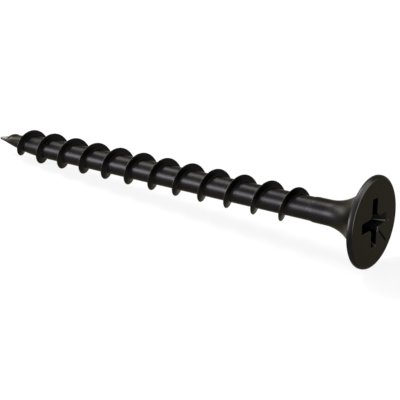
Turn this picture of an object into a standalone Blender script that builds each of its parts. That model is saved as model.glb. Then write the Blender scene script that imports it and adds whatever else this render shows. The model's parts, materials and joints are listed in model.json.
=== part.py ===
"""Coarse-thread drywall screw, 45 mm long, lying on its head rim and its thread.

The screw is one piece of steel: a bugle head and plain shank, a thin rolled
thread that grows out of the point and dies away below the shank, and a cross
recess punched into the flat face. The thread is left-hand, as pictured.

It is modelled along +Z with its point at the origin and +X facing the floor,
then tipped over so that it lies as it would come to rest.
"""

from math import atan2, cos, pi, radians, sin, sqrt, tan

import bmesh
import bpy

MM = 0.001

# Head and shank
LENGTH = 45.0 * MM
HEAD_DIAMETER = 8.16 * MM
RIM_HEIGHT = 0.20 * MM
EDGE_HEIGHT = 0.24 * MM
EDGE_WIDTH = 0.22 * MM
EDGE_ARC = radians(60.0)
BUGLE_RADIUS = 4.2 * MM
SHANK_DIAMETER = 2.30 * MM
SHANK_LENGTH = 1.60 * MM
SHANK_STEP = 0.20 * MM

# Threaded stem
ROOT_DIAMETER = 2.16 * MM
POINT_LENGTH = 7.1 * MM

# Thread
THREAD_DIAMETER = 3.42 * MM
THREAD_PITCH = 2.96 * MM
THREAD_HAND = -1
THREAD_START = 0.965 * MM
THREAD_START_ANGLE = radians(281.25)
THREAD_RUN_IN = 3.3 * MM
THREAD_RUN_OUT = 1.45 * MM
THREAD_END_GAP = 0.12 * MM
CREST_WIDTH = 0.06 * MM
FLANK_ANGLE = radians(14.0)
ROOT_FILLET = 0.10 * MM
FADED_WIDTH = 0.35

# Cross recess
RECESS_SPAN = 4.40 * MM
RECESS_BOTTOM_SPAN = 2.30 * MM
RECESS_WING_WIDTH = 0.95 * MM
RECESS_BOTTOM_WING_WIDTH = 0.70 * MM
RECESS_CORE = 1.75 * MM
RECESS_BOTTOM_CORE = 1.45 * MM
RECESS_WING_DEPTH = 2.10 * MM
RECESS_DEPTH = 2.70 * MM
RECESS_TURN = radians(-5.0)
CUTTER_CLEARANCE = 0.50 * MM

# Facets
SEGMENTS = 48
BUGLE_STEPS = 9
EDGE_STEPS = 3
TIP_STEPS = 3
RUN_IN_ROWS = 3

# Finish
PHOSPHATE_COLOR = (0.022, 0.021, 0.022, 1.0)
PHOSPHATE_METALLIC = 0.6
PHOSPHATE_ROUGHNESS = 0.45

# Heights along the axis, measured from the point
HEAD_RADIUS = HEAD_DIAMETER / 2
SHANK_RADIUS = SHANK_DIAMETER / 2
ROOT_RADIUS = ROOT_DIAMETER / 2
RIM_TOP = LENGTH - EDGE_HEIGHT
RIM_BOTTOM = RIM_TOP - RIM_HEIGHT
BUGLE_CENTER_RADIUS = SHANK_RADIUS + BUGLE_RADIUS
BUGLE_BOTTOM = RIM_BOTTOM - sqrt(BUGLE_RADIUS**2 - (BUGLE_CENTER_RADIUS - HEAD_RADIUS) ** 2)
SHANK_BOTTOM = BUGLE_BOTTOM - SHANK_LENGTH
ROOT_TOP = SHANK_BOTTOM - SHANK_STEP
THREAD_END = ROOT_TOP - THREAD_END_GAP
STATION_RISE = THREAD_PITCH / SEGMENTS


def clear_scene():
    for item in list(bpy.data.objects):
        bpy.data.objects.remove(item, do_unlink=True)


def phosphate():
    material = bpy.data.materials.new("black_phosphate")
    material.use_nodes = True
    shader = material.node_tree.nodes["Principled BSDF"]
    shader.inputs["Base Color"].default_value = PHOSPHATE_COLOR
    shader.inputs["Metallic"].default_value = PHOSPHATE_METALLIC
    shader.inputs["Roughness"].default_value = PHOSPHATE_ROUGHNESS
    return material


def on_column(column, radius, height):
    """A point of the screw; a flat between two columns faces the floor."""
    angle = (column + 0.5) * 2 * pi / SEGMENTS
    return radius * cos(angle), radius * sin(angle), height


def stem_radius(height):
    """Radius of the threaded stem: an arc up from the sharp point, then a cylinder."""
    if height >= POINT_LENGTH:
        return ROOT_RADIUS
    arc = (POINT_LENGTH**2 + ROOT_RADIUS**2) / (2 * ROOT_RADIUS)
    return ROOT_RADIUS - arc + sqrt(arc**2 - (POINT_LENGTH - height) ** 2)


def head_profile():
    """Radius and height from the shank's step up over the bugle to the face."""
    outline = [(SHANK_RADIUS, SHANK_BOTTOM)]
    sweep = atan2(RIM_BOTTOM - BUGLE_BOTTOM, BUGLE_CENTER_RADIUS - HEAD_RADIUS)
    for step in range(BUGLE_STEPS + 1):
        angle = sweep * step / BUGLE_STEPS
        radius = BUGLE_CENTER_RADIUS - BUGLE_RADIUS * cos(angle)
        outline.append((radius, BUGLE_BOTTOM + BUGLE_RADIUS * sin(angle)))
    for step in range(EDGE_STEPS + 1):
        angle = EDGE_ARC * step / EDGE_STEPS
        inward = EDGE_WIDTH * (1 - cos(angle)) / (1 - cos(EDGE_ARC))
        upward = EDGE_HEIGHT * sin(angle) / sin(EDGE_ARC)
        outline.append((HEAD_RADIUS - inward, RIM_TOP + upward))
    return outline


def ease(share):
    """Smooth rise from 0 to 1."""
    share = min(max(share, 0.0), 1.0)
    return share * share * (3 - 2 * share)


def thread_rise(height):
    """Share of the thread's full depth that stands at this height."""
    run_in = ease((height - THREAD_START) / THREAD_RUN_IN)
    run_out = ease((THREAD_END - height) / THREAD_RUN_OUT)
    return min(run_in, run_out)


def thread_section(height):
    """Radius and height of the thread's outline: foot, flank, crest, crest, flank, foot."""
    rise = thread_rise(height)
    depth = (THREAD_DIAMETER - ROOT_DIAMETER) / 2
    fillet = min(ROOT_FILLET, depth / 2)
    crest = CREST_WIDTH / 2
    flank = crest + (depth - fillet) * tan(FLANK_ANGLE)
    half = [(flank + fillet, 0.0), (flank, fillet), (crest, depth)]
    narrowing = FADED_WIDTH + (1 - FADED_WIDTH) * rise
    outline = []
    for side, points in ((-1, half), (1, reversed(half))):
        for reach, proud in points:
            place = height + side * reach * narrowing
            outline.append((stem_radius(place) + proud * rise, place))
    return outline


def add_ring(mesh, radius, height):
    return [mesh.verts.new(on_column(column, radius, height)) for column in range(SEGMENTS)]


def bridge(mesh, rows):
    """Quads between neighbouring rows of equal length."""
    for lower, upper in zip(rows, rows[1:]):
        for index in range(len(lower) - 1):
            mesh.faces.new((lower[index], lower[index + 1], upper[index + 1], upper[index]))


def bridge_rings(mesh, rings):
    bridge(mesh, [ring + ring[:1] for ring in rings])


def stitch(mesh, left, right):
    """Triangles between two columns of points that climb at different steps."""
    low, high = 0, 0
    while low < len(left) - 1 or high < len(right) - 1:
        climbs_left = high == len(right) - 1
        if low < len(left) - 1 and not climbs_left:
            climbs_left = left[low + 1].co.z <= right[high + 1].co.z
        if climbs_left:
            mesh.faces.new((left[low], right[high], left[low + 1]))
            low += 1
        else:
            mesh.faces.new((left[low], right[high], right[high + 1]))
            high += 1


def thread_columns():
    """The column that each station of the thread stands on, from the point to the shank."""
    first = round(THREAD_START_ANGLE * SEGMENTS / (2 * pi) - 0.5)
    count = int((THREAD_END - THREAD_START) / STATION_RISE) + 1
    return [(first + THREAD_HAND * station) % SEGMENTS for station in range(count)]


def thread_skin(mesh, columns):
    """The thread and the stem between its turns, as one helical skin of stations."""
    stations = []
    for station, column in enumerate(columns):
        outline = thread_section(THREAD_START + station * STATION_RISE)
        stations.append([mesh.verts.new(on_column(column, *point)) for point in outline])
    bridge(mesh, stations)
    upper_feet = [station[-1] for station in stations[:-SEGMENTS]]
    lower_feet = [station[0] for station in stations[SEGMENTS:]]
    bridge(mesh, [upper_feet, lower_feet])
    return stations


def close_on_point(mesh, columns, stations, ring):
    """Stem from a ring on the point up to the first turn, which climbs past its own start."""
    climbs = []
    for column, station in zip(columns[:SEGMENTS], stations):
        base, foot = ring[column], station[0]
        climb = [base]
        for row in range(1, RUN_IN_ROWS):
            height = base.co.z + (foot.co.z - base.co.z) * row / RUN_IN_ROWS
            climb.append(mesh.verts.new(on_column(column, stem_radius(height), height)))
        climbs.append(climb + [foot])
    bridge(mesh, climbs)
    stitch(mesh, climbs[-1], climbs[0] + stations[0][1:] + [stations[SEGMENTS][0]])


def close_on_shank(mesh, columns, stations, ring):
    """Stem from the last turn up to a ring below the shank."""
    last_turn = zip(columns[-SEGMENTS:], stations[-SEGMENTS:])
    climbs = [[station[-1], ring[column]] for column, station in last_turn]
    bridge(mesh, climbs)
    stitch(mesh, [stations[-SEGMENTS - 1][-1]] + stations[-1] + climbs[-1][1:], climbs[0])


def blank_mesh():
    """The whole screw but for its recess."""
    mesh = bmesh.new()
    columns = thread_columns()
    stations = thread_skin(mesh, columns)

    tip_top = stations[0][0].co.z - RUN_IN_ROWS * STATION_RISE
    heights = [tip_top * (step + 1) / TIP_STEPS for step in range(TIP_STEPS)]
    tip_rings = [add_ring(mesh, stem_radius(height), height) for height in heights]
    bridge_rings(mesh, tip_rings)
    close_on_point(mesh, columns, stations, tip_rings[-1])
    tip = mesh.verts.new((0.0, 0.0, 0.0))
    for column in range(SEGMENTS):
        mesh.faces.new((tip, tip_rings[0][column], tip_rings[0][column - 1]))

    upper_rings = [add_ring(mesh, ROOT_RADIUS, ROOT_TOP)]
    upper_rings += [add_ring(mesh, radius, height) for radius, height in head_profile()]
    close_on_shank(mesh, columns, stations, upper_rings[0])
    bridge_rings(mesh, upper_rings)
    mesh.faces.new(upper_rings[-1])

    bmesh.ops.recalc_face_normals(mesh, faces=mesh.faces)
    return mesh


def tapered_prism(name, outlines):
    """A closed solid through flat outlines, each a list of corners and a height."""
    mesh = bmesh.new()
    rings = [[mesh.verts.new((x, y, height)) for x, y in corners] for corners, height in outlines]
    bridge_rings(mesh, rings)
    mesh.faces.new(rings[0])
    mesh.faces.new(rings[-1])
    bmesh.ops.recalc_face_normals(mesh, faces=mesh.faces)
    data = bpy.data.meshes.new(name)
    mesh.to_mesh(data)
    mesh.free()
    return data


def rectangle(length, width):
    return [(sx * length / 2, sy * width / 2) for sx, sy in ((-1, -1), (1, -1), (1, 1), (-1, 1))]


def above_face(at_face, at_bottom, depth):
    """A tapering size carried on to the cutter's top, above the face."""
    return at_face + (at_face - at_bottom) * CUTTER_CLEARANCE / depth


def wing_cutter():
    """One of the two crossed blades, narrowing as it goes down."""
    length = above_face(RECESS_SPAN, RECESS_BOTTOM_SPAN, RECESS_WING_DEPTH)
    width = above_face(RECESS_WING_WIDTH, RECESS_BOTTOM_WING_WIDTH, RECESS_WING_DEPTH)
    bottom = rectangle(RECESS_BOTTOM_SPAN, RECESS_BOTTOM_WING_WIDTH)
    top = rectangle(length, width)
    return tapered_prism(
        "recess_wing",
        [(bottom, LENGTH - RECESS_WING_DEPTH), (top, LENGTH + CUTTER_CLEARANCE)],
    )


def core_cutter():
    """The square core that trims the corners between the wings, with its blunt bottom."""
    width = above_face(RECESS_CORE, RECESS_BOTTOM_CORE, RECESS_WING_DEPTH)
    nose = RECESS_BOTTOM_CORE / 4
    return tapered_prism(
        "recess_core",
        [
            (rectangle(nose, nose), LENGTH - RECESS_DEPTH),
            (rectangle(RECESS_BOTTOM_CORE, RECESS_BOTTOM_CORE), LENGTH - RECESS_WING_DEPTH),
            (rectangle(width, width), LENGTH + CUTTER_CLEARANCE),
        ],
    )


def resting_tilt(mesh):
    """How far the axis climbs to the head when rim and thread both touch the floor."""
    rim = on_column(0, HEAD_RADIUS, RIM_BOTTOM)
    touches = [
        atan2(rim[0] - vertex.co.x, rim[2] - vertex.co.z)
        for vertex in mesh.verts
        if vertex.co.z < ROOT_TOP
    ]
    return min(touches)


def lay_down(mesh):
    """An empty that carries the screw to its rest, centred over the origin."""
    carrier = bpy.data.objects.new("resting_place", None)
    bpy.context.collection.objects.link(carrier)
    carrier.rotation_euler = (0.0, pi / 2 - resting_tilt(mesh), 0.0)
    turn = carrier.rotation_euler.to_matrix()
    corners = [turn @ vertex.co for vertex in mesh.verts]
    for axis in (0, 1):
        values = [corner[axis] for corner in corners]
        carrier.location[axis] = -(min(values) + max(values)) / 2
    carrier.location.z = -min(corner.z for corner in corners)
    return carrier


def add_cutter(screw, name, data, turn):
    cutter = bpy.data.objects.new(name, data)
    bpy.context.collection.objects.link(cutter)
    cutter.parent = screw.parent
    cutter.rotation_euler.z = turn
    cutter.hide_render = True
    cutter.display_type = "WIRE"
    cut = screw.modifiers.new(name, "BOOLEAN")
    cut.operation = "DIFFERENCE"
    cut.solver = "EXACT"
    cut.object = cutter


def main():
    clear_scene()
    mesh = blank_mesh()
    carrier = lay_down(mesh)
    data = bpy.data.meshes.new("drywall_screw")
    mesh.to_mesh(data)
    mesh.free()
    data.shade_smooth()
    data.set_sharp_from_angle(angle=radians(35.0))
    data.materials.append(phosphate())
    screw = bpy.data.objects.new("drywall_screw", data)
    bpy.context.collection.objects.link(screw)
    screw.parent = carrier
    wing = wing_cutter()
    add_cutter(screw, "recess_wing_a", wing, RECESS_TURN)
    add_cutter(screw, "recess_wing_b", wing, RECESS_TURN + pi / 2)
    add_cutter(screw, "recess_core", core_cutter(), RECESS_TURN + pi / 4)


main()
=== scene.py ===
# %% [markdown]
# # A black drywall screw
#
# A drywall screw is one piece of cold-headed steel wire. A punch forms the bugle head and
# its cross recess, two dies roll a thin coarse thread into the stem, and a bath leaves a
# black phosphate coating. This lesson makes a fine version of the plain packed screw, gives
# it that coating, and takes its picture on a white sweep.
#
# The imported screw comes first. Its box is the room that the fine screw may fill.

import json
from math import asin, atan2, cos, degrees, pi, radians, sin, sqrt, tan

import bmesh
import bpy
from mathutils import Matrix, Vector


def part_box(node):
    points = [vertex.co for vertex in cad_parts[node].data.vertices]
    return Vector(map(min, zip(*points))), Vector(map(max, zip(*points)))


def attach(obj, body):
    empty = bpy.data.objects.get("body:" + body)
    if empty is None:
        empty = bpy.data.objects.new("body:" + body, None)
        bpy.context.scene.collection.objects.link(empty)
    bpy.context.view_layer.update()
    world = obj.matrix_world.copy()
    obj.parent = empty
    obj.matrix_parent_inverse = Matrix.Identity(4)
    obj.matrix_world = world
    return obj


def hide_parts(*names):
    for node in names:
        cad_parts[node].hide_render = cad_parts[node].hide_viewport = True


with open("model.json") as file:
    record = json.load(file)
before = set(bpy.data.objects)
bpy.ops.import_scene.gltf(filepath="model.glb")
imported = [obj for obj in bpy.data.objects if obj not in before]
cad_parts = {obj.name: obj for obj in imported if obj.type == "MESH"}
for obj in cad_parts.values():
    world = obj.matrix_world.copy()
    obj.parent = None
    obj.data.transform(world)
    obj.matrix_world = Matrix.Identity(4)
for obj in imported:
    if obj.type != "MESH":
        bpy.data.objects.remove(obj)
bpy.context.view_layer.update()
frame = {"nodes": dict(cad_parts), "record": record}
cad_low, cad_high = [Vector(corner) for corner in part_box("drywall_screw")]
print("packed screw fills", [round(value * 1000, 3) for value in cad_high - cad_low], "mm")

# %% [markdown]
# The fine screw is modelled standing on its point, along +Z, because every turned shape is
# easiest there, and it is tipped over at the end. All its sizes are its own, in millimetres.
# A few are shared by its parts. The others are named where they are first used.
#
# The stem and the head have the same number of columns, so that their rings can be bridged.
# Two places count as one under a tenth of a micrometre, and two heights under a micrometre.

# %% Sizes that the parts share
MM = 0.001
LENGTH = 45.0 * MM
ROOT_RADIUS = 1.08 * MM
ROOT_TOP = 38.756 * MM
AROUND = 128
MERGE_UNDER = 0.002 * MM
SAME_PLACE = 1e-7
SAME_LEVEL = 1e-6
print("screw", round(LENGTH * 1000, 1), "mm long,", AROUND, "columns around it")

# %% [markdown]
# Some small helpers are used all the way through. The first draws an outline by hand, as
# one would with the E key: one vertex is left of a plane, and it is extruded from point to
# point. The second selects what lies where a rule says, because an operator acts on all
# that is selected. The third rounds a corner of an outline, the fourth makes a soft start
# and stop out of a straight ramp, and the last finds the rims that are still open.

# %% Draw an outline, and select by a rule
def draw_outline(name, points):
    """An object that is one chain of edges through points of radius and height."""
    bpy.ops.object.select_all(action="DESELECT")
    bpy.ops.mesh.primitive_plane_add(size=MM, location=(0, 0, 0))
    outline = bpy.context.object
    outline.name = name
    bpy.ops.object.mode_set(mode="EDIT")
    bpy.ops.mesh.merge(type="CENTER")
    radius, height = points[0]
    bpy.ops.transform.translate(value=(radius, 0, height))
    for (radius, height), (next_radius, next_height) in zip(points, points[1:]):
        step = (next_radius - radius, 0, next_height - height)
        bpy.ops.mesh.extrude_region_move(TRANSFORM_OT_translate={"value": step})
    bpy.ops.object.mode_set(mode="OBJECT")
    return outline


def select_in(piece, kind, rule):
    """In edit mode, select only the vertices, edges or faces that a rule picks."""
    bpy.ops.mesh.select_mode(type=kind)
    bpy.ops.mesh.select_all(action="DESELECT")
    mesh = bmesh.from_edit_mesh(piece.data)
    parts = {"VERT": mesh.verts, "EDGE": mesh.edges, "FACE": mesh.faces}[kind]
    chosen = [part for part in parts if rule(part)]
    for part in chosen:
        part.select_set(True)
    mesh.select_flush_mode()
    bmesh.update_edit_mesh(piece.data)
    return len(chosen)


print("drawing helpers ready")

# %% Round a corner, ease a ramp, and count open rims
def bend(start, corner, end, steps):
    """Points of a soft corner, from its start to its end."""
    points = []
    for step in range(steps + 1):
        share = step / steps
        a, b, c = (1 - share) ** 2, 2 * share * (1 - share), share**2
        points.append(tuple(a * s + b * m + c * e for s, m, e in zip(start, corner, end)))
    return points


def ease(share):
    """A ramp from 0 to 1 that starts and stops softly."""
    share = min(max(share, 0.0), 1.0)
    return share * share * (3 - 2 * share)


def rims(piece):
    """The heights of the open rims of a piece, in millimetres, with their counts of edges."""
    mesh = bmesh.new()
    mesh.from_mesh(piece.data)
    found = {}
    for edge in mesh.edges:
        if len(edge.link_faces) != 2:
            height = round((edge.verts[0].co.z + edge.verts[1].co.z) * 500, 2)
            found[height] = found.get(height, 0) + 1
    mesh.free()
    return found


print("half of a soft ramp is", ease(0.5))

# %% [markdown]
# ## The thread
#
# A rolled thread is a thin fin with a soft crest, steep flanks and a small fillet at its
# root, with the bare stem between its turns. It could be swept along a helix and joined to
# a cylinder, but the seam would show. Instead one pitch of the stem's outline is drawn,
# from the middle of one gap to the middle of the next, and the Screw modifier winds it
# round. Each turn ends where the next one starts, so stem and thread are one skin.
#
# The thread of this screw is left-hand, so it is wound by a negative turn.

# %% Sizes of the thread
THREAD_PITCH = 2.96 * MM
THREAD_START = 0.965 * MM
THREAD_START_ANGLE = radians(281.25)
CREST_RADIUS = 1.705 * MM
FIN_HEIGHT = CREST_RADIUS - ROOT_RADIUS
CREST_HALF = 0.035 * MM
CREST_ROUND = 0.055 * MM
FLANK_ANGLE = radians(17.0)
ROOT_FILLET = 0.07 * MM
WOUND_TURNS = 15
print("fin", round(FIN_HEIGHT * 1000, 3), "mm high, pitch", round(THREAD_PITCH * 1000, 2), "mm")

# %% One pitch of the thread's outline
def thread_outline():
    """Points of place along the screw and height over the root, and half the fin's foot."""
    flank_foot = CREST_HALF + FIN_HEIGHT * tan(FLANK_ANGLE)
    crest_low = (CREST_HALF + CREST_ROUND * tan(FLANK_ANGLE), FIN_HEIGHT - CREST_ROUND)
    fillet_top = (flank_foot - ROOT_FILLET * sin(FLANK_ANGLE), ROOT_FILLET * cos(FLANK_ANGLE))
    foot = flank_foot + ROOT_FILLET
    half = bend((0.0, FIN_HEIGHT), (CREST_HALF, FIN_HEIGHT), crest_low, 3)
    half += [tuple((a + b) / 2 for a, b in zip(crest_low, fillet_top))]
    half += bend(fillet_top, (flank_foot, 0.0), (foot, 0.0), 4)
    half += [((foot + THREAD_PITCH / 2) / 2, 0.0), (THREAD_PITCH / 2, 0.0)]
    return [(-along, proud) for along, proud in reversed(half)] + half[1:], foot


outline, thread_foot = thread_outline()
# The height of a crest at angle 0, the side that will lie underneath.
crest_at_zero = THREAD_START + THREAD_PITCH * THREAD_START_ANGLE / (2 * pi)
first_crest = crest_at_zero - 2 * THREAD_PITCH
stem = draw_outline(
    "fine_screw",
    [(ROOT_RADIUS + proud, first_crest + along) for along, proud in outline],
)
print(len(outline), "points in one pitch, thread foot", round(thread_foot * 2000, 3), "mm wide")

# %% Wind the outline round
winding = stem.modifiers.new("winding", "SCREW")
winding.axis = "Z"
winding.angle = -2 * pi
winding.screw_offset = THREAD_PITCH
winding.iterations = WOUND_TURNS
winding.steps = AROUND
winding.render_steps = AROUND
winding.use_merge_vertices = False
bpy.ops.object.modifier_apply(modifier="winding")
bpy.ops.object.mode_set(mode="EDIT")
bpy.ops.mesh.select_all(action="SELECT")
bpy.ops.mesh.remove_doubles(threshold=MERGE_UNDER)
bpy.ops.object.mode_set(mode="OBJECT")
print("wound stem:", len(stem.data.vertices), "vertices")

# %% [markdown]
# The wound stem is longer than the screw's. The Bisect tool trims it at both ends, here
# with a little to spare, because its vertices still move before the last trim.

# %% Trim the stem
TRIM_SPARE = 0.5 * MM


def trim(low, high):
    """Cut the active piece away below one height and above another."""
    bpy.ops.object.mode_set(mode="EDIT")
    for height, below in ((low, True), (high, False)):
        bpy.ops.mesh.select_all(action="SELECT")
        bpy.ops.mesh.bisect(
            plane_co=(0, 0, height),
            plane_no=(0, 0, 1),
            clear_inner=below,
            clear_outer=not below,
            threshold=SAME_PLACE,
        )
    bpy.ops.object.mode_set(mode="OBJECT")


trim(-TRIM_SPARE, ROOT_TOP + TRIM_SPARE)
print("trimmed stem:", len(stem.data.vertices), "vertices, rims", rims(stem))

# %% [markdown]
# ## The point
#
# The dies squeeze the stem to a long curved point, a little blunt at its very end. The fin
# starts there as a low sharp ridge and gets higher and thicker over the first turn. At the
# other end it dies away before the shank. Proportional editing could only come near that,
# so each vertex is moved by the rule that the dies follow: the stem's radius at its height,
# plus its share of the fin. That share is kept in an attribute named crest, because the
# coating differs on the flanks and on the crest. The cut end is closed by three smaller
# rings and one last vertex.

# %% Sizes of the point and of the thread's two ends
POINT_LENGTH = 7.1 * MM
BLUNT_RADIUS = 0.08 * MM
BLUNT_LENGTH = 2.0 * MM
LOWEST_RING = 0.03 * MM
RUN_IN = 3.3 * MM
RUN_OUT = 1.45 * MM
THREAD_END = ROOT_TOP - 0.12 * MM
FIRST_RIDGE = 0.12
FADED_WIDTH = 0.20
print("thread from", round(THREAD_START * 1000, 3), "to", round(THREAD_END * 1000, 3), "mm")

# %% How the stem and the fin change along the screw
def stem_radius(height):
    """The radius under the thread: an arc at the point, and then straight."""
    if height >= POINT_LENGTH:
        return ROOT_RADIUS
    arc = (POINT_LENGTH**2 + ROOT_RADIUS**2) / (2 * ROOT_RADIUS)
    blunt = BLUNT_RADIUS * max(0.0, 1 - height / BLUNT_LENGTH) ** 2
    return ROOT_RADIUS - arc + sqrt(arc**2 - (POINT_LENGTH - height) ** 2) + blunt


def thread_rise(height):
    """The share of its full height that the fin has where its crest is at this height."""
    share = (height - THREAD_START) / RUN_IN
    run_in = (1 - FIRST_RIDGE) * ease(share) + FIRST_RIDGE * ease(share / FIRST_RIDGE)
    run_out = ease((THREAD_END - height) / RUN_OUT)
    return min(run_in, run_out)


def gather(along, rise):
    """Where the fin is low it is also thin, so its points move towards its middle."""
    width = FADED_WIDTH + (1 - FADED_WIDTH) * rise
    if abs(along) <= thread_foot:
        return along * width
    spare = THREAD_PITCH / 2 - thread_foot
    share = (abs(along) - thread_foot) / spare
    reach = thread_foot * width + share * (THREAD_PITCH / 2 - thread_foot * width)
    return reach if along > 0 else -reach


print("stem radius 1 mm up the point:", round(stem_radius(MM) * 1000, 3), "mm")

# %% Taper the stem and let the thread run in and out
POINT_CUT = 0.12 * MM

crest_share = []
for vertex in stem.data.vertices:
    x, y, z = vertex.co
    angle = atan2(y, x)
    crest_here = crest_at_zero - THREAD_PITCH * angle / (2 * pi)
    turn = round((z - crest_here) / THREAD_PITCH)
    crest_height = crest_here + turn * THREAD_PITCH
    rise = thread_rise(crest_height)
    height = crest_height + gather(z - crest_height, rise)
    proud = max(sqrt(x * x + y * y) - ROOT_RADIUS, 0.0)
    radius = stem_radius(max(height, LOWEST_RING)) + proud * rise
    vertex.co = (radius * cos(angle), radius * sin(angle), height)
    crest_share.append(proud / FIN_HEIGHT * rise)
crest = stem.data.attributes.new("crest", "FLOAT", "POINT")
crest.data.foreach_set("value", crest_share)
trim(POINT_CUT, ROOT_TOP)
print("shaped stem:", len(stem.data.vertices), "vertices, rims", rims(stem))

# %% Close the point with a small round end
POINT_RINGS = ((0.08 * MM, 0.86), (0.045 * MM, 0.62), (0.02 * MM, 0.40))

bpy.ops.object.mode_set(mode="EDIT")
select_in(stem, "VERT", lambda vertex: vertex.co.z < POINT_CUT + SAME_PLACE)
last_height = POINT_CUT
for height, share in POINT_RINGS:
    step = (0, 0, height - last_height)
    bpy.ops.mesh.extrude_region_move(TRANSFORM_OT_translate={"value": step})
    bpy.ops.transform.resize(value=(share, share, 1), center_override=(0, 0, height))
    last_height = height
bpy.ops.mesh.merge(type="CENTER")
bpy.ops.object.mode_set(mode="OBJECT")
print("point closed, rims left", rims(stem))

# %% [markdown]
# ## The head
#
# The bugle head is a surface of revolution: a step from the thread's root to the plain
# shank, a concave sweep out to a thin rim, and a rolled edge up to the flat face. It could
# be a cylinder that is pulled wide, but the sweep and the rolled edge need their own
# curves. So its outline is drawn and then spun round.
#
# The rim is as wide as the box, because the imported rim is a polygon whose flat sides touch
# the box, and a round rim of the full diameter would stand out of it.

# %% Sizes of the head
HEAD_RADIUS = (cad_high.y - cad_low.y) / 2
RIM_TOP = LENGTH - 0.24 * MM
RIM_BOTTOM = RIM_TOP - 0.20 * MM
BACK_EDGE_CORNER = RIM_BOTTOM - 0.01 * MM
BACK_EDGE_END = RIM_BOTTOM + 0.07 * MM
FACE_RADIUS = HEAD_RADIUS - 0.23 * MM
FACE_EDGE = 0.04 * MM
ROLLED_START = RIM_TOP - 0.02 * MM
ROLLED_CORNER = LENGTH - 0.10 * MM
ROLLED_END = (FACE_RADIUS + 0.035 * MM, LENGTH - 0.022 * MM)
BUGLE_RADIUS = 4.2 * MM
BUGLE_SHORT_OF_RIM = 0.02  # radians
BUGLE_STEPS = 24
SHANK_RADIUS = 1.15 * MM
SHANK_BOTTOM = 38.956 * MM
HEAD_LID = ROOT_TOP + 0.04 * MM
STEP_START = ROOT_TOP + 0.06 * MM
STEP_MIDDLE = ROOT_TOP + 0.37 * MM
STEP_END = ROOT_TOP + 0.78 * MM
STEP_SOFT = 0.15 * MM
print("rim diameter", round(HEAD_RADIUS * 2000, 3), "mm")

# %% The head's outline
def shank_outline(bugle_bottom):
    """Points of radius and height from the lower lid, over the step, along the shank."""
    middle = ((ROOT_RADIUS + SHANK_RADIUS) / 2, STEP_MIDDLE)
    low_corner = (ROOT_RADIUS, STEP_MIDDLE - STEP_SOFT)
    high_corner = (SHANK_RADIUS, STEP_MIDDLE + STEP_SOFT)
    points = [(ROOT_RADIUS, HEAD_LID)]
    points += bend((ROOT_RADIUS, STEP_START), low_corner, middle, 4)
    points += bend(middle, high_corner, (SHANK_RADIUS, STEP_END), 4)[1:]
    points += [(SHANK_RADIUS, SHANK_BOTTOM + (bugle_bottom - SHANK_BOTTOM) / 2)]
    return points


def rim_outline(bugle_end):
    """Points from the end of the bugle round the rim and its rolled edge to the face."""
    back_corner, back_end = (HEAD_RADIUS, BACK_EDGE_CORNER), (HEAD_RADIUS, BACK_EDGE_END)
    points = bend(bugle_end, back_corner, back_end, 4)[1:]
    points += bend((HEAD_RADIUS, ROLLED_START), (HEAD_RADIUS, ROLLED_CORNER), ROLLED_END, 6)
    points += bend(points[-1], (FACE_RADIUS, LENGTH), (FACE_RADIUS - FACE_EDGE, LENGTH), 3)[1:]
    return points


def head_outline():
    """Points of radius and height from the head's lower lid to its face."""
    centre = SHANK_RADIUS + BUGLE_RADIUS
    drop = sqrt(BUGLE_RADIUS**2 - (centre - HEAD_RADIUS) ** 2)
    bugle_bottom = RIM_BOTTOM - drop
    sweep = atan2(drop, centre - HEAD_RADIUS) - BUGLE_SHORT_OF_RIM
    points = shank_outline(bugle_bottom)
    for step in range(BUGLE_STEPS + 1):
        angle = sweep * step / BUGLE_STEPS
        radius = centre - BUGLE_RADIUS * cos(angle)
        points.append((radius, bugle_bottom + BUGLE_RADIUS * sin(angle)))
    return points + rim_outline(points[-1])


head = draw_outline("head", head_outline())
print("outline of the head:", len(head.data.vertices), "points")

# %% Spin the head and put its two lids on
bpy.ops.object.mode_set(mode="EDIT")
bpy.ops.mesh.select_all(action="SELECT")
bpy.ops.mesh.spin(steps=AROUND, angle=2 * pi, center=(0, 0, 0), axis=(0, 0, 1))
bpy.ops.mesh.select_all(action="SELECT")
bpy.ops.mesh.remove_doubles(threshold=MERGE_UNDER)
for height in (LENGTH, HEAD_LID):
    select_in(head, "VERT", lambda vertex: abs(vertex.co.z - height) < SAME_PLACE)
    bpy.ops.mesh.edge_face_add()
bpy.ops.mesh.select_all(action="SELECT")
bpy.ops.mesh.normals_make_consistent(inside=False)
bpy.ops.object.mode_set(mode="OBJECT")
print("head:", len(head.data.polygons), "faces, rims", rims(head))

# %% [markdown]
# ## The cross recess
#
# The punch leaves four wings that narrow as they go down, round at their corners, and a
# square core between them with a blunt bottom. The punch itself is modelled, from three
# cubes whose lower faces are drawn in, and taken away from the head with Boolean modifiers.
# Insetting the face would give straight walls only. Then the edge that the punch leaves on
# the face is rounded, because that is what catches the light.

# %% Sizes of the recess
WING_SPAN = (4.40 * MM, 2.30 * MM)
WING_WIDTH = (0.95 * MM, 0.70 * MM)
CORE_WIDTH = (1.75 * MM, 1.45 * MM)
WING_DEPTH = 2.10 * MM
RECESS_DEPTH = 2.70 * MM
RECESS_TURN = radians(-5.0)
PUNCH_PROUD = 0.5 * MM
WING_CORNER = 0.13 * MM
CORE_TIP_SHARE = 0.25
RECESS_EDGE = 0.05 * MM
RECESS_REACH = 3.0 * MM
across, deep = round(WING_SPAN[0] * 1000, 2), round(RECESS_DEPTH * 1000, 2)
print("recess", across, "mm across and", deep, "mm deep")

# %% Model the punch
def widened(at_face, at_bottom):
    """A size of the punch where it stands proud of the face, on the slope of its walls."""
    return at_face + (at_face - at_bottom) * PUNCH_PROUD / WING_DEPTH


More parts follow.
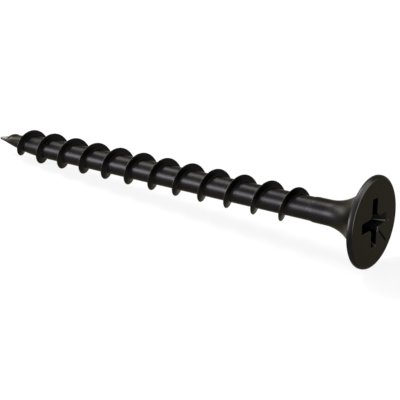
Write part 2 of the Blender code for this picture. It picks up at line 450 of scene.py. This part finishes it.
def punch_part(name, spans, widths):
    """A bar that narrows downwards. It is left in edit mode with its lower face selected."""
    top_span, top_width = widened(*spans), widened(*widths)
    tall = WING_DEPTH + PUNCH_PROUD
    bpy.ops.object.select_all(action="DESELECT")
    bpy.ops.mesh.primitive_cube_add(size=1.0, location=(0, 0, 0))
    part = bpy.context.object
    part.name = name
    bpy.ops.object.mode_set(mode="EDIT")
    bpy.ops.mesh.select_all(action="SELECT")
    bpy.ops.transform.resize(value=(top_span, top_width, tall))
    bpy.ops.transform.translate(value=(0, 0, LENGTH + PUNCH_PROUD - tall / 2))
    select_in(part, "FACE", lambda face: face.normal.z < -0.9)
    bpy.ops.transform.resize(
        value=(spans[1] / top_span, widths[1] / top_width, 1),
        center_override=(0, 0, LENGTH - WING_DEPTH),
    )
    return part


def finish_punch_part(part, turn):
    """Round the upright corners of a bar, and turn it to its place."""
    select_in(part, "EDGE", lambda edge: abs(edge.verts[0].co.z - edge.verts[1].co.z) > MM)
    bpy.ops.mesh.bevel(offset=WING_CORNER, segments=4, affect="EDGES")
    bpy.ops.mesh.select_all(action="SELECT")
    bpy.ops.transform.rotate(value=-turn, orient_axis="Z", center_override=(0, 0, LENGTH))
    bpy.ops.object.mode_set(mode="OBJECT")


punch = []
for name, turn in (("wing_a", RECESS_TURN), ("wing_b", RECESS_TURN + pi / 2)):
    part = punch_part(name, WING_SPAN, WING_WIDTH)
    finish_punch_part(part, turn)
    punch.append(part)
core = punch_part("core", CORE_WIDTH, CORE_WIDTH)
bpy.ops.mesh.extrude_region_move(
    TRANSFORM_OT_translate={"value": (0, 0, WING_DEPTH - RECESS_DEPTH)}
)
bpy.ops.transform.resize(
    value=(CORE_TIP_SHARE, CORE_TIP_SHARE, 1),
    center_override=(0, 0, LENGTH - RECESS_DEPTH),
)
finish_punch_part(core, RECESS_TURN + pi / 4)
punch.append(core)
print("punch made of", [part.name for part in punch])

# %% Punch the recess
bpy.ops.object.select_all(action="DESELECT")
bpy.context.view_layer.objects.active = head
head.select_set(True)
for part in punch:
    cut = head.modifiers.new(part.name, "BOOLEAN")
    cut.operation = "DIFFERENCE"
    cut.solver = "EXACT"
    cut.object = part
    bpy.ops.object.modifier_apply(modifier=part.name)
for part in punch:
    bpy.data.objects.remove(part, do_unlink=True)
print("punched head:", len(head.data.polygons), "faces, rims", rims(head))

# %% Round the recess's edge on the face
SHARP_FROM = radians(30)


def on_recess_edge(edge):
    """Is this an edge where the recess meets the flat face?"""
    if len(edge.link_faces) != 2:
        return False
    for vertex in edge.verts:
        if abs(vertex.co.z - LENGTH) > SAME_LEVEL or vertex.co.xy.length > RECESS_REACH:
            return False
    return edge.calc_face_angle() > SHARP_FROM


bpy.ops.object.mode_set(mode="EDIT")
count = select_in(head, "EDGE", on_recess_edge)
bpy.ops.mesh.bevel(offset=RECESS_EDGE, segments=3, affect="EDGES", clamp_overlap=False)
bpy.ops.object.mode_set(mode="OBJECT")
print("recess edge of", count, "edges rounded;", len(head.data.vertices), "vertices")

# %% [markdown]
# ## Where the head is worn, and where highlights are painted on it
#
# The coating wears a very little round the face's edge and along the recess's rounded edge,
# where these rub on other screws and on the driver bit. The upper left of the rim and of the
# face's edge, and the top of the rim, are lightened as painted highlight where the lamps' shine
# falls. The lower wall of the recess's right wing is lightened to the lit face's tone as painted
# light. This could be painted in a picture, or found from the curvature. It lies on whole rows
# of faces, so each face gets its share as a number in a face attribute. It is a face attribute,
# because values on vertices would run out over the large flat face.
#
# Angles around the head go from the near side, at 0 degrees, up to the top, at 90. The painted
# highlight swells between the first two angles of a range and fades between the last two.

# %% Sizes of the wear and of the painted highlights
UPPER_LEFT_HIGHLIGHT = (2, 24, 75, 100)
NEAR_TOP_HIGHLIGHT = (42, 62, 74, 88)
FACE_EDGE_REACH = 0.05 * MM
FACE_EDGE_DROP = 0.03 * MM
FACE_EDGE_WEAR = 0.02
FACE_EDGE_UPPER_HIGHLIGHT = 0.42
RIM_UPPER_HIGHLIGHT = 0.05
RIM_TOP_HIGHLIGHT = 0.28
RIM_HIGHLIGHT_START = RIM_BOTTOM + 0.08 * MM
RECESS_EDGE_DROP = 0.06 * MM
RECESS_EDGE_SLOPE = 0.15
RECESS_EDGE_WEAR = 0.03
RIGHT_WING_START = 0.8 * MM
LOWER_WALL_SLOPE = -0.7
LOWER_WALL_PAINTED_LIGHT = 0.45
# On the upper left of the rim this is painted highlight, not wear.
print("rim wears from", UPPER_LEFT_HIGHLIGHT[0], "to", UPPER_LEFT_HIGHLIGHT[-1], "degrees")

# %% Mark the faces that are worn or carry a painted highlight
def swell(angle, start, full, fading, end):
    """0 before start and after end, 1 between full and fading, all in degrees."""
    return ease((angle - start) / (full - start)) * ease((end - angle) / (end - fading))


def wear_and_highlight_of(face):
    """How much a face of the head is lightened, from 0 to 1: by wear, or as painted highlight
    and painted light.
    """
    centre = face.center
    below = LENGTH - centre.z
    radius = centre.xy.length
    around = degrees(atan2(-centre.x, -centre.y))
    upper_left_highlight = swell(around, *UPPER_LEFT_HIGHLIGHT)
    near_top_highlight = swell(around, *NEAR_TOP_HIGHLIGHT)
    # The face's edge: a little wear all round, and a painted highlight on its upper left.
    if abs(radius - FACE_RADIUS) < FACE_EDGE_REACH and below < FACE_EDGE_DROP:
        return FACE_EDGE_WEAR + FACE_EDGE_UPPER_HIGHLIGHT * upper_left_highlight
    # The top of the rim: painted highlight on the upper left and near the top.
    if radius > FACE_RADIUS and centre.z > RIM_TOP:
        return RIM_UPPER_HIGHLIGHT * upper_left_highlight + RIM_TOP_HIGHLIGHT * near_top_highlight
    # The rest of the rim's band: painted highlight on the upper left.
    if radius > FACE_RADIUS and centre.z > RIM_HIGHLIGHT_START:
        return RIM_UPPER_HIGHLIGHT * upper_left_highlight
    if radius > RECESS_REACH or below < SAME_LEVEL:
        return 0.0
    # The recess's rounded edge: a little wear.
    if below < RECESS_EDGE_DROP and face.normal.z > RECESS_EDGE_SLOPE:
        return RECESS_EDGE_WEAR
    # The lower wall of the right wing: painted light, as light as the lit face.
    if centre.y > RIGHT_WING_START and face.normal.x < LOWER_WALL_SLOPE:
        return LOWER_WALL_PAINTED_LIGHT
    return 0.0


wear_and_highlight = head.data.attributes.new("wear_and_highlight", "FLOAT", "FACE")
wear_and_highlight.data.foreach_set("value", [wear_and_highlight_of(face) for face in head.data.polygons])
print("marked", sum(1 for item in wear_and_highlight.data if item.value > 0), "faces of the head")

# %% [markdown]
# ## One piece
#
# The real screw is one piece of wire, so the two meshes become one skin. A Boolean union
# would leave a ragged seam. Here stem and head are joined, the head's lower lid goes, and
# the two open rings, which have the same columns, are bridged.

# %% Join the stem and the head
def is_lower_lid(face):
    """Is this the head's lower lid, the one face with a corner in every column?"""
    away = abs(face.calc_center_median().z - HEAD_LID)
    return len(face.verts) == AROUND and away < SAME_LEVEL


bpy.ops.object.select_all(action="DESELECT")
stem.select_set(True)
head.select_set(True)
bpy.context.view_layer.objects.active = stem
bpy.ops.object.join()
fine_screw = stem
bpy.ops.object.mode_set(mode="EDIT")
lids = select_in(fine_screw, "FACE", is_lower_lid)
bpy.ops.mesh.delete(type="ONLY_FACE")
select_in(fine_screw, "EDGE", lambda edge: edge.is_boundary)
bpy.ops.mesh.bridge_edge_loops()
bpy.ops.mesh.select_all(action="SELECT")
bpy.ops.mesh.normals_make_consistent(inside=False)
bpy.ops.object.mode_set(mode="OBJECT")
check = bmesh.new()
check.from_mesh(fine_screw.data)
volume = round(check.calc_volume() * 1e9, 1)
check.free()
print("lids taken out:", lids, "and open rims left:", rims(fine_screw))
print("one skin:", len(fine_screw.data.polygons), "faces round", volume, "mm3 of steel")

# %% [markdown]
# Then the screw is laid down. It rests on the rim of its head and on one crest of its
# thread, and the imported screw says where: the record holds the direction of its face, and
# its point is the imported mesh's foremost vertex. The point is set back by a hair, so that
# rounding can't push it out of the box.

# %% Lay the screw down
BOX_SPARE = 0.002 * MM

axis = Vector(frame["record"]["mounts"][0]["axis"]).normalized()
tilt = asin(axis.z)
packed = frame["nodes"]["drywall_screw"]
point_vertex = min((vertex.co for vertex in packed.data.vertices), key=lambda place: place.x)
fine_screw.rotation_euler = (0, pi / 2 - tilt, 0)
fine_screw.location = point_vertex - axis * BOX_SPARE
bpy.ops.object.transform_apply(location=True, rotation=True, scale=True)
print("axis climbs", round(degrees(tilt), 3), "degrees to the head")

# %% [markdown]
# The screw is smooth wherever the dies rolled it, and sharp at the corners of the recess.
# Smooth by Angle tells the two apart, and Weighted Normal keeps the large faces flat, so
# that the rounded edges beside them take the bend.

# %% Shade it smooth
SMOOTH_UNDER = radians(40)

bpy.ops.object.shade_smooth_by_angle(angle=SMOOTH_UNDER)
weighted = fine_screw.modifiers.new("even_shading", "WEIGHTED_NORMAL")
weighted.keep_sharp = True
weighted.weight = 60
bpy.ops.object.modifier_apply(modifier="even_shading")
low = [round(min(v.co[i] for v in fine_screw.data.vertices) * 1000, 4) for i in range(3)]
high = [round(max(v.co[i] for v in fine_screw.data.vertices) * 1000, 4) for i in range(3)]
print("fine screw from", low, "to", high, "mm")

# %% [markdown]
# ## The black phosphate coating
#
# Phosphating grows a skin of tiny dark crystals, with a little oil left in it. It is close
# to black, with a satin shine that is soft because the crystals scatter it, and it is
# slightly uneven in tone. A picture could show that, but it would have a size and a seam.
# Two sizes of noise do it here, in a node group with named inputs, so that colour,
# roughness and height all come from the same crystals.

# %% Node group of the crystal skin
def crystal_group():
    """Tone and height of a coating of crystals, which gathers in patches."""
    group = bpy.data.node_groups.new("crystal_skin", "ShaderNodeTree")
    sockets = group.interface
    sockets.new_socket("Vector", in_out="INPUT", socket_type="NodeSocketVector")
    for name, value in (("Crystal Size", 20000.0), ("Patch Size", 900.0), ("Spread", 0.5)):
        socket = sockets.new_socket(name, in_out="INPUT", socket_type="NodeSocketFloat")
        socket.default_value = value
    for name in ("Tone", "Height"):
        sockets.new_socket(name, in_out="OUTPUT", socket_type="NodeSocketFloat")
    nodes, links = group.nodes, group.links
    come = nodes.new("NodeGroupInput")
    go = nodes.new("NodeGroupOutput")
    noises = []
    for size, detail in (("Crystal Size", 3.0), ("Patch Size", 2.0)):
        noise = nodes.new("ShaderNodeTexNoise")
        noise.inputs["Detail"].default_value = detail
        links.new(come.outputs["Vector"], noise.inputs["Vector"])
        links.new(come.outputs[size], noise.inputs["Scale"])
        noises.append(noise)
    crystals, patches = noises
    blend = nodes.new("ShaderNodeMix")
    blend.data_type = "FLOAT"
    links.new(come.outputs["Spread"], blend.inputs["Factor"])
    links.new(crystals.outputs["Fac"], blend.inputs["A"])
    links.new(patches.outputs["Fac"], blend.inputs["B"])
    links.new(blend.outputs["Result"], go.inputs["Tone"])
    links.new(crystals.outputs["Fac"], go.inputs["Height"])
    return group


crystal_skin = crystal_group()
print("group", crystal_skin.name, "with", len(crystal_skin.nodes), "nodes")

# %% [markdown]
# Thin highlights are painted as bright lines on the edges of the recess, and one scratch goes
# on the face. Each is a straight line in space, so it needs no picture either. The group
# measures how far a place is from the line between two points, and its mask fades over the
# width.

# %% Node group of a thin line from one point to another
def line_group():
    """A mask that is 1 on the line between two points and 0 from its width outwards."""
    group = bpy.data.node_groups.new("thin_line", "ShaderNodeTree")
    sockets = group.interface
    for name in ("Vector", "From", "To"):
        sockets.new_socket(name, in_out="INPUT", socket_type="NodeSocketVector")
    socket = sockets.new_socket("Width", in_out="INPUT", socket_type="NodeSocketFloat")
    socket.default_value = 0.05 * MM
    sockets.new_socket("Mask", in_out="OUTPUT", socket_type="NodeSocketFloat")
    nodes, links = group.nodes, group.links
    come = nodes.new("NodeGroupInput")
    go = nodes.new("NodeGroupOutput")

    def vector_step(operation, *sources):
        """One vector node, with its inputs linked in order."""
        step = nodes.new("ShaderNodeVectorMath")
        step.operation = operation
        for number, source in enumerate(sources):
            links.new(source, step.inputs[number])
        return step

    along = vector_step("SUBTRACT", come.outputs["To"], come.outputs["From"])
    reach = vector_step("SUBTRACT", come.outputs["Vector"], come.outputs["From"])
    part = vector_step("DOT_PRODUCT", reach.outputs[0], along.outputs[0])
    whole = vector_step("DOT_PRODUCT", along.outputs[0], along.outputs[0])
    share = nodes.new("ShaderNodeMath")
    share.operation = "DIVIDE"
    share.use_clamp = True
    links.new(part.outputs["Value"], share.inputs[0])
    links.new(whole.outputs["Value"], share.inputs[1])
    foot = vector_step("SCALE", along.outputs[0])
    links.new(share.outputs[0], foot.inputs["Scale"])
    away = vector_step("DISTANCE", reach.outputs[0], foot.outputs[0])
    fade = nodes.new("ShaderNodeMapRange")
    fade.interpolation_type = "SMOOTHSTEP"
    fade.inputs["From Min"].default_value = 0.0
    fade.inputs["To Min"].default_value = 1.0
    fade.inputs["To Max"].default_value = 0.0
    links.new(away.outputs["Value"], fade.inputs["Value"])
    links.new(come.outputs["Width"], fade.inputs["From Max"])
    links.new(fade.outputs["Result"], go.inputs["Mask"])
    return group


thin_line = line_group()
print("group", thin_line.name, "with", len(thin_line.nodes), "nodes")

# %% [markdown]
# The material starts from the shine. Oiled phosphate mirrors its surroundings dimly at
# every angle, as a very dark metal does, where a black plastic would turn white towards its
# edges. So the shader is a metal with a nearly black colour, and its Specular Tint keeps
# the edges dim as well. The crystals vary the colour, the roughness and the height.

# %% The coating's shine, tone and grain
coating = bpy.data.materials.new("black_phosphate_fine")
coating.use_nodes = True
nodes, links = coating.node_tree.nodes, coating.node_tree.links
shader = nodes["Principled BSDF"]
shader.inputs["Specular IOR Level"].default_value = 0.0
shader.inputs["Specular Tint"].default_value = (0.58, 0.56, 0.51, 1)

place = nodes.new("ShaderNodeTexCoord")
skin = nodes.new("ShaderNodeGroup")
skin.node_tree = crystal_skin
links.new(place.outputs["Object"], skin.inputs["Vector"])

tone = nodes.new("ShaderNodeValToRGB")
tone.color_ramp.elements[0].position = 0.3
tone.color_ramp.elements[0].color = (0.0092, 0.0090, 0.0088, 1)
tone.color_ramp.elements[1].position = 0.7
tone.color_ramp.elements[1].color = (0.0152, 0.0148, 0.0142, 1)
links.new(skin.outputs["Tone"], tone.inputs["Fac"])

satin = nodes.new("ShaderNodeMapRange")
satin.inputs["From Min"].default_value = 0.3
satin.inputs["From Max"].default_value = 0.7
satin.inputs["To Min"].default_value = 0.32
satin.inputs["To Max"].default_value = 0.42
links.new(skin.outputs["Tone"], satin.inputs["Value"])
links.new(satin.outputs["Result"], shader.inputs["Roughness"])

grain = nodes.new("ShaderNodeBump")
grain.inputs["Strength"].default_value = 0.2
grain.inputs["Distance"].default_value = 0.01 * MM
links.new(skin.outputs["Height"], grain.inputs["Height"])
links.new(grain.outputs["Normal"], shader.inputs["Normal"])
print("coating", coating.name, "has its shine, tone and grain")

# %% Helpers for layers of wear
def mix_colour(mask, below, above):
    """One colour over another where the mask is white."""
    mix = nodes.new("ShaderNodeMix")
    mix.data_type = "RGBA"
    links.new(mask, mix.inputs["Factor"])
    links.new(below, mix.inputs["A"])
    mix.inputs["B"].default_value = above
    return mix.outputs["Result"]


def read_attribute(name):
    """A number that was stored on the mesh."""
    reader = nodes.new("ShaderNodeAttribute")
    reader.attribute_name = name
    return reader.outputs["Fac"]


def line_mask(start, end, width):
    """The mask of a line between two places on the lying screw, all in millimetres."""
    line = nodes.new("ShaderNodeGroup")
    line.node_tree = thin_line
    links.new(place.outputs["Object"], line.inputs["Vector"])
    line.inputs["From"].default_value = [value * MM for value in start]
    line.inputs["To"].default_value = [value * MM for value in end]
    line.inputs["Width"].default_value = width * MM
    return line.outputs["Mask"]


print("wear helpers ready")

# %% [markdown]
# Wear and painted light are laid over the coating in layers, each by its own mask. The
# flanks of the thread are darkened a quarter of the way to black, as painted shade between the
# turns, and the dies and the box polish its crest. The attribute crest tells them apart. The
# head's worn faces and its painted highlights come next, and then the point, where the coating
# is thin: its mask is one short wide line along the last millimetre. One mask for all of it
# would be simpler, but each layer has a colour of its own.

# %% Painted shade on the thread's flanks, polished crest, the head's wear and painted highlights, and bare point
PAINTED_SHADE_ON_FLANKS = (0.002, 0.002, 0.002, 1)
POLISHED_CREST = (0.11, 0.108, 0.095, 1)
WEAR_AND_HIGHLIGHT_GREY = (0.30, 0.295, 0.285, 1)
BARE_POINT = (0.072, 0.074, 0.071, 1)
FLANK_SHADE_SHARE = 0.25
FLANK = (0.12, 0.85)
POLISHED_FROM = 0.93
POLISHED_SHARE = 0.25
POINT_LINE = ((-22.55, 0.0, 1.75), (-21.4, 0.0, 1.95), 1.2)

# Painted shade: the flanks between crest and root are darkened towards black.
flank = nodes.new("ShaderNodeValToRGB")
flank.color_ramp.elements[0].color = (0, 0, 0, 1)
flank.color_ramp.elements[1].color = (0, 0, 0, 1)
for position in FLANK:
    flank.color_ramp.elements.new(position).color = (FLANK_SHADE_SHARE, FLANK_SHADE_SHARE, FLANK_SHADE_SHARE, 1)
links.new(read_attribute("crest"), flank.inputs["Fac"])
colour = mix_colour(flank.outputs["Color"], tone.outputs["Color"], PAINTED_SHADE_ON_FLANKS)

crest_top = nodes.new("ShaderNodeMapRange")
crest_top.inputs["From Min"].default_value = POLISHED_FROM
crest_top.inputs["To Max"].default_value = POLISHED_SHARE
links.new(read_attribute("crest"), crest_top.inputs["Value"])
colour = mix_colour(crest_top.outputs["Result"], colour, POLISHED_CREST)
# Wear and painted highlight on the head's faces lighten the coating towards steel grey.
colour = mix_colour(read_attribute("wear_and_highlight"), colour, WEAR_AND_HIGHLIGHT_GREY)
colour = mix_colour(line_mask(*POINT_LINE), colour, BARE_POINT)
print("layers on thread, head and point")

# %% [markdown]
# Painted highlights go as bright lines on the edges of the recess's right, near and lower
# wings, as the photo shows them. The scratch is a groove, and its darkness is painted shade:
# hardly any light comes back out of it. It could be cut into the mesh, but it is finer than
# the faces there. A metal always shines, so the shader is less of a metal in the scratch.

# %% Painted highlight lines on the recess's edges, and the scratch's painted shade
PAINTED_HIGHLIGHT_LINES = [
    ((21.24, 1.56, 3.530), (22.20, 2.07, 3.540), 0.032),
    ((22.20, 2.07, 3.540), (22.38, 2.47, 3.430), 0.06),
    ((22.30, 0.62, 3.500), (22.39, 0.45, 3.170), 0.06),
    ((22.09, 0.09, 2.045), (22.40, 0.15, 1.890), 0.10),
]
PAINTED_EDGE_HIGHLIGHT = (0.20, 0.196, 0.18, 1)
SCRATCH = ((22.41, 0.86, 3.00), (22.48, 1.95, 1.80), 0.17)
SCRATCH_PAINTED_SHADE = (0.001, 0.001, 0.001, 1)

# Painted highlights: thin bright lines along the recess's edges.
for start, end, width in PAINTED_HIGHLIGHT_LINES:
    colour = mix_colour(line_mask(start, end, width), colour, PAINTED_EDGE_HIGHLIGHT)
# The scratch is a real groove. Its near-black colour and its lost shine are painted shade.
scratch = line_mask(*SCRATCH)
colour = mix_colour(scratch, colour, SCRATCH_PAINTED_SHADE)
links.new(colour, shader.inputs["Base Color"])
shine_left = nodes.new("ShaderNodeMath")
shine_left.operation = "SUBTRACT"
shine_left.inputs[0].default_value = 1.0
links.new(scratch, shine_left.inputs[1])
links.new(shine_left.outputs[0], shader.inputs["Metallic"])
print("coating has", len(nodes), "nodes")

# %% Coat the screw
fine_screw.data.materials.clear()
fine_screw.data.materials.append(coating)
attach(fine_screw, "root")
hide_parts("drywall_screw")
print("coating on", fine_screw.name)

# %% [markdown]
# ## The white sweep
#
# The photo's ground is plain white. More light on a white floor would do it, but it would
# fall on the screw as well. Light Path tells the camera's rays from the others: they see
# plain white, and so do reflections and glass. The floor mixes a little of its lit paper
# in, so that it still takes the screw's shadow. For all other rays the room is about half
# as bright, which keeps its light on the screw and on the paper low.

# %% Which rays see white
def seen_white(tree, share):
    """A share of 1 for camera, glossy and glass rays, and 0 for all others."""
    nodes, links = tree.nodes, tree.links
    rays = nodes.new("ShaderNodeLightPath")
    either = nodes.new("ShaderNodeMath")
    either.operation = "MAXIMUM"
    links.new(rays.outputs["Is Camera Ray"], either.inputs[0])
    links.new(rays.outputs["Is Glossy Ray"], either.inputs[1])
    any_of = nodes.new("ShaderNodeMath")
    any_of.operation = "MAXIMUM"
    links.new(either.outputs[0], any_of.inputs[0])
    links.new(rays.outputs["Is Transmission Ray"], any_of.inputs[1])
    part = nodes.new("ShaderNodeMath")
    part.operation = "MULTIPLY"
    part.inputs[1].default_value = share
    links.new(any_of.outputs[0], part.inputs[0])
    return part.outputs[0]


print("plain white for camera, glossy and glass rays")

# %% Floor
FLOOR_SIZE = 1.6
FLOOR_BELOW = 0.01 * MM
FLOOR_WHITE = 0.86

bpy.ops.object.select_all(action="DESELECT")
bpy.ops.mesh.primitive_plane_add(size=FLOOR_SIZE, location=(0, 0, cad_low.z - FLOOR_BELOW))
floor = bpy.context.object
floor.name = "white_floor"
paper = bpy.data.materials.new("white_paper")
paper.use_nodes = True
nodes, links = paper.node_tree.nodes, paper.node_tree.links
sheet = nodes["Principled BSDF"]
sheet.inputs["Base Color"].default_value = (0.9, 0.9, 0.9, 1)
sheet.inputs["Roughness"].default_value = 0.9
sheet.inputs["Specular IOR Level"].default_value = 0.0
plain_white = nodes.new("ShaderNodeEmission")
white_part = nodes.new("ShaderNodeMixShader")
links.new(seen_white(paper.node_tree, FLOOR_WHITE), white_part.inputs["Fac"])
links.new(sheet.outputs["BSDF"], white_part.inputs[1])
links.new(plain_white.outputs["Emission"], white_part.inputs[2])
links.new(white_part.outputs["Shader"], nodes["Material Output"].inputs["Surface"])
floor.data.materials.append(paper)
print("floor", FLOOR_SIZE, "m wide")

# %% World
ROOM_LIGHT = 0.55

world = bpy.data.worlds.new("white_room")
bpy.context.scene.world = world
world.use_nodes = True
nodes, links = world.node_tree.nodes, world.node_tree.links
room = nodes["Background"]
room.inputs["Color"].default_value = (1, 1, 1, 1)
level = nodes.new("ShaderNodeMapRange")
level.inputs["To Min"].default_value = ROOM_LIGHT
level.inputs["To Max"].default_value = 1.0
links.new(seen_white(world.node_tree, 1.0), level.inputs["Value"])
links.new(level.outputs["Result"], room.inputs["Strength"])
print("world lights at", ROOM_LIGHT, "and looks plain white")

# %% [markdown]
# ## Light
#
# The photo shows two streaks of light along the stem, a light patch on top of the bugle, and
# a light point. A streak is the mirror image of a soft box, so each box stands where a ray
# from the camera goes after its bounce off the screw. The front box makes the lower streak
# and the edge light on the rim, the top box makes the upper streak, and the point box
# lights the point and the bugle. A picture of a studio could light all of it at once, but
# three lamps can be moved one by one. They are weak, so the rest of the coating stays black.

# %% Lamps
LAMP_DISTANCE = 0.5


def softbox(name, direction, size, watts, tint):
    """A rectangle lamp that faces the middle of the screw from a direction."""
    away = Vector(direction).normalized()
    bpy.ops.object.light_add(type="AREA", location=away * LAMP_DISTANCE)
    lamp = bpy.context.object
    lamp.name = name
    lamp.data.shape = "RECTANGLE"
    lamp.data.size, lamp.data.size_y = size
    lamp.data.energy = watts
    lamp.data.color = tint
    lamp.rotation_euler = Vector(direction).to_track_quat("Z", "Y").to_euler()
    print(name, "gives", watts, "W")


softbox("front_box", (-0.61, -0.78, 0.14), (0.17, 0.15), 3.6, (0.90, 0.88, 1.0))
softbox("top_box", (-0.61, 0.06, 0.79), (0.19, 0.14), 1.9, (0.97, 0.95, 1.0))
softbox("point_box", (-0.95, 0.03, 0.29), (0.15, 0.26), 2.1, (0.97, 0.98, 1.0))

# %% [markdown]
# ## Camera
#
# The camera's place, direction and lens were fitted to the outline in the photo: the crests
# of the thread, the rim of the head and the point. The near plane is brought close, because
# the screw is so small.

# %% Camera
bpy.ops.object.camera_add(location=(0.059471, -0.074730, 0.043917))
camera = bpy.context.object
camera.rotation_euler = (radians(65.348), 0, radians(36.546))
camera.data.lens = 97.827
camera.data.sensor_width = 36.0
camera.data.clip_start = 0.001
bpy.context.scene.camera = camera
bpy.context.scene.view_settings.view_transform = "Standard"
print("camera", round(camera.location.length * 1000), "mm from the screw")
